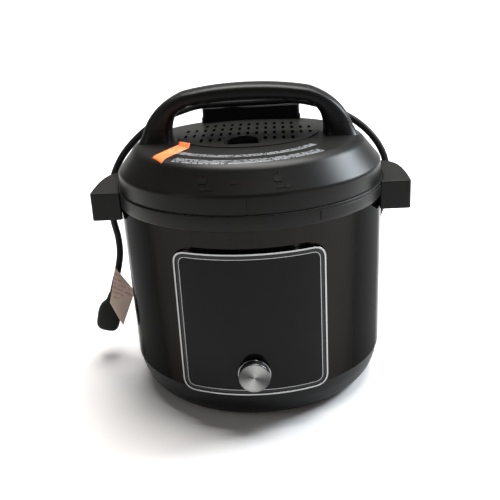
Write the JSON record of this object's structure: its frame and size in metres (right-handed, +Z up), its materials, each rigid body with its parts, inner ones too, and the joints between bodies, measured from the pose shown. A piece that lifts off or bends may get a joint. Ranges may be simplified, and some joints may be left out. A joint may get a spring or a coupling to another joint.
{
  "type": "electric pressure cooker",
  "caption": "Round electric pressure cooker with a domed locking lid, arched carrying handle, side ears, a dark front panel with a metal dial and a mains lead.",
  "frame": {"origin": "on the worktop, under the middle of the body", "axes": "+Z up, the control panel faces -Y, the ears are along X"},
  "size_m": [0.3644, 0.3499, 0.326],
  "materials": {
    "matt_plastic": "satin black moulded plastic",
    "gloss_plastic": "gloss black",
    "panel_glass": "smoked gloss face",
    "wall_steel": "glossy black coated steel",
    "trim": "polished",
    "dial": "turned face, bright edge",
    "pot_steel": "satin",
    "pins": "plated",
    "aluminium": "cast and drawn",
    "silicone": "milky silicone",
    "rubber": "black rubber",
    "lead": "black vinyl",
    "circuit": "lacquered board",
    "component": "moulded",
    "cup": "clear smoked plastic",
    "paper": "printed paper"
  },
  "bodies": {
    "base": {"base_shell": "matt_plastic", "foot_1": "rubber", "foot_2": "rubber", "foot_3": "rubber", "foot_4": "rubber", "steel_wall": "wall_steel", "top_ring": "matt_plastic", "left_ear": "matt_plastic", "right_ear": "matt_plastic", "panel_trim": "trim", "panel_frame": "gloss_plastic", "panel_glass": "panel_glass", "display_module": "matt_plastic", "control_board": "circuit", "dial_encoder": "component", "liner": "aluminium", "heater_plate": "aluminium", "sensor_bracket": "pot_steel", "sensor_spring": "pot_steel", "power_board": "circuit", "transformer": "component", "relay": "component", "filter_capacitor": "aluminium", "heater_lead": "silicone", "strain_relief": "rubber", "cup_bracket": "matt_plastic", "lead_right": "lead"},
    "dial_shaft": {"dial_shaft": "dial"},
    "dial_knob": {"dial_knob": "dial"},
    "sensor": {"temperature_sensor": "aluminium"},
    "cup": {"condensate_cup": "cup"},
    "pot": {"inner_pot": "pot_steel"},
    "seal": {"sealing_ring": "silicone", "ring_rack": "pot_steel", "lead_left": "lead", "plug_body": "rubber", "plug_pin_1": "pins", "plug_pin_2": "pins", "plug_pin_3": "pins", "lead_tag": "paper"},
    "lid": {"lid_cover": "matt_plastic", "inner_lid": "pot_steel", "handle_grip": "matt_plastic", "left_screw": "pot_steel", "right_screw": "pot_steel", "float_hood": "matt_plastic", "release_housing": "matt_plastic", "release_pipe": "pot_steel", "steam_shield": "pot_steel", "button_spring": "pot_steel", "lead_over": "lead"},
    "float": {"float_pin": "pot_steel", "float_seal": "silicone"},
    "button": {"release_button": "matt_plastic"},
    "weight": {"release_weight": "pot_steel"},
    "cover": {"steam_cover": "matt_plastic"}
  },
  "joints": [
    {"name": "pot_lift", "type": "slide", "parent": "base", "child": "pot", "axis": [0, 0, 1], "range_m": [0, 0.19], "deforming": ["lead_right", "lead_over", "lead_left", "lead_tag"]},
    {"name": "lid_lift", "type": "slide", "parent": "pot", "child": "seal", "axis": [0, 0, 1], "range_m": [0, 0.12], "deforming": ["lead_right", "lead_over", "lead_left", "lead_tag"]},
    {"name": "lid_turn", "type": "hinge", "parent": "seal", "child": "lid", "pos_m": [0, 0, 0.25], "axis": [0, 0, 1], "range_deg": [0, 18], "deforming": ["lead_right", "lead_over", "lead_left", "lead_tag"]},
    {"name": "float_rise", "type": "slide", "parent": "lid", "child": "float", "axis": [0, 0, 1], "range_m": [0, 0.005]},
    {"name": "button_press", "type": "slide", "parent": "lid", "child": "button", "axis": [0, 0, -1], "range_m": [0, 0.004], "stiffness_N_per_m": 700, "springref_m": -0.003, "deforming": ["button_spring"]},
    {"name": "weight_lift", "type": "slide", "parent": "lid", "child": "weight", "axis": [0, 0, 1], "range_m": [0, 0.0025]},
    {"name": "cover_lift", "type": "slide", "parent": "lid", "child": "cover", "axis": [0, 0, 1], "range_m": [0, 0.02]},
    {"name": "dial_turn", "type": "hinge", "parent": "base", "child": "dial_shaft", "pos_m": [0, -0.14, 0.066], "axis": [0, -1, 0], "continuous": true},
    {"name": "dial_press", "type": "slide", "parent": "dial_shaft", "child": "dial_knob", "axis": [0, 1, 0], "range_m": [0, 0.0012], "stiffness_N_per_m": 900, "springref_m": -0.001},
    {"name": "sensor_press", "type": "slide", "parent": "base", "child": "sensor", "axis": [0, 0, -1], "range_m": [0, 0.003], "stiffness_N_per_m": 500, "springref_m": -0.003, "deforming": ["sensor_spring"]},
    {"name": "cup_pull", "type": "slide", "parent": "base", "child": "cup", "axis": [0, 1, 0], "range_m": [0, 0.06]}
  ],
  "couplings": [
    {"joint": "weight_lift", "follows": "button_press", "ratio": 0.625}
  ]
}
